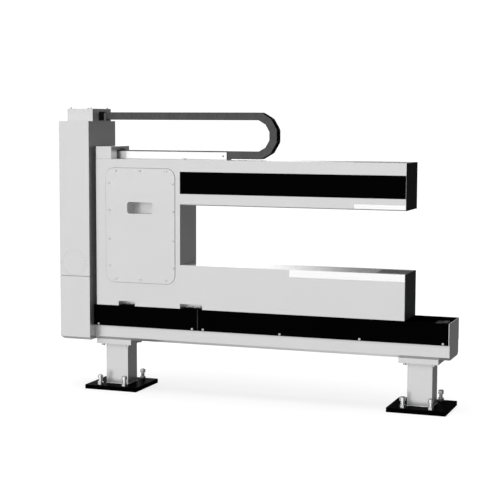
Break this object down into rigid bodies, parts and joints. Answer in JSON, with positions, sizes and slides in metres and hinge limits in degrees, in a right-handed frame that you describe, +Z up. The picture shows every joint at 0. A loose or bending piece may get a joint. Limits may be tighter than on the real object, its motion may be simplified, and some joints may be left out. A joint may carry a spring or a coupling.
{
  "type": "traversing c-frame gauge",
  "caption": "C-shaped measuring frame on a ball screw slide over a floor-standing base, with a column and an energy chain.",
  "frame": {"origin": "middle of the object's footprint, on the floor under the feet", "axes": "+X along the slide from the column towards the open arm tips, -Y the front face with the access panel, +Z up"},
  "size_m": [1.749, 0.27, 1.2545],
  "materials": {
    "paint_light": "satin light grey paint",
    "paint_light_gloss": "smooth light grey paint",
    "black_sheet": "satin black paint",
    "black_steel": "matt black paint",
    "black_gloss": "polished black",
    "white_plastic": "satin white",
    "white_sheet": "satin white paint",
    "chain_plastic": "dark grey glass filled nylon",
    "rail_steel": "ground",
    "machined": "milled",
    "zinc": "zinc plated",
    "chrome": "bright",
    "black_oxide": "black oxide",
    "rubber": "matt",
    "motor_black": "satin black",
    "frame_steel": "primer grey",
    "sensor_glass": "dark window"
  },
  "bodies": {
    "base": {"foot_plate_left": "black_steel", "foot_plate_right": "black_steel", "post_left": "paint_light", "post_right": "paint_light", "flange_bolts": "zinc", "jack_nuts": "zinc", "beam": "paint_light", "panel_front_left": "black_sheet", "panel_front_right": "black_sheet", "panel_rear": "black_sheet", "end_plate": "paint_light", "rail_front": "rail_steel", "rail_rear": "rail_steel", "rail_screws": "black_oxide", "screw_support_fixed": "black_oxide", "screw_support_float": "black_oxide", "motor": "motor_black", "motor_mount": "machined", "end_buffers": "rubber", "column_lower": "paint_light", "column_upper": "paint_light", "column_frame": "frame_steel", "column_cover": "paint_light", "box_body": "paint_light", "box_lid": "paint_light", "base_screws": "zinc", "chain_fixed_bracket": "zinc", "chain_fixed_run": "chain_plastic"},
    "frame": {"c_frame": "paint_light_gloss", "access_panel": "paint_light", "frame_screws": "zinc", "stripe_panel": "black_gloss", "cap_upper": "black_sheet", "cap_lower": "black_sheet", "strips": "white_plastic", "rear_panel": "paint_light", "sensor_upper": "sensor_glass", "sensor_lower": "sensor_glass", "trough": "white_sheet", "cable_bridge": "paint_light", "bridge_lid": "paint_light", "chain_end_stub": "chain_plastic", "saddle_plate": "black_steel", "saddle_screws": "zinc", "carriages": "rail_steel", "nut_bracket": "machined", "ball_nut": "rail_steel"},
    "chain": {"chain_upper_run": "chain_plastic", "chain_bend": "chain_plastic", "chain_lower_run": "chain_plastic"},
    "screw": {"ball_screw": "rail_steel", "coupling": "machined"},
    "jack_body_1": {"jack_1": "chrome"},
    "jack_body_2": {"jack_2": "chrome"},
    "jack_body_3": {"jack_3": "chrome"},
    "jack_body_4": {"jack_4": "chrome"},
    "jack_body_5": {"jack_5": "chrome"},
    "jack_body_6": {"jack_6": "chrome"},
    "jack_body_7": {"jack_7": "chrome"},
    "jack_body_8": {"jack_8": "chrome"}
  },
  "joints": [
    {"name": "frame_slide", "type": "slide", "parent": "base", "child": "frame", "axis": [1, 0, 0], "range_m": [0, 1]},
    {"name": "chain_slide", "type": "slide", "parent": "base", "child": "chain", "axis": [1, 0, 0], "range_m": [0, 0.5], "deforming": ["chain_lower_run"]},
    {"name": "screw_spin", "type": "hinge", "parent": "base", "child": "screw", "pos_m": [-0.705, 0.004, 0.342], "axis": [1, 0, 0], "continuous": true},
    {"name": "jack_set_1", "type": "slide", "parent": "base", "child": "jack_body_1", "axis": [0, 0, 1], "range_m": [-0.015, 0.008]},
    {"name": "jack_set_2", "type": "slide", "parent": "base", "child": "jack_body_2", "axis": [0, 0, 1], "range_m": [-0.015, 0.008]},
    {"name": "jack_set_3", "type": "slide", "parent": "base", "child": "jack_body_3", "axis": [0, 0, 1], "range_m": [-0.015, 0.008]},
    {"name": "jack_set_4", "type": "slide", "parent": "base", "child": "jack_body_4", "axis": [0, 0, 1], "range_m": [-0.015, 0.008]},
    {"name": "jack_set_5", "type": "slide", "parent": "base", "child": "jack_body_5", "axis": [0, 0, 1], "range_m": [-0.015, 0.008]},
    {"name": "jack_set_6", "type": "slide", "parent": "base", "child": "jack_body_6", "axis": [0, 0, 1], "range_m": [-0.015, 0.008]},
    {"name": "jack_set_7", "type": "slide", "parent": "base", "child": "jack_body_7", "axis": [0, 0, 1], "range_m": [-0.015, 0.008]},
    {"name": "jack_set_8", "type": "slide", "parent": "base", "child": "jack_body_8", "axis": [0, 0, 1], "range_m": [-0.015, 0.008]}
  ],
  "couplings": [
    {"joint": "chain_slide", "follows": "frame_slide", "ratio": 0.5},
    {"joint": "screw_spin", "follows": "frame_slide", "rad_per_m": 392.7}
  ]
}
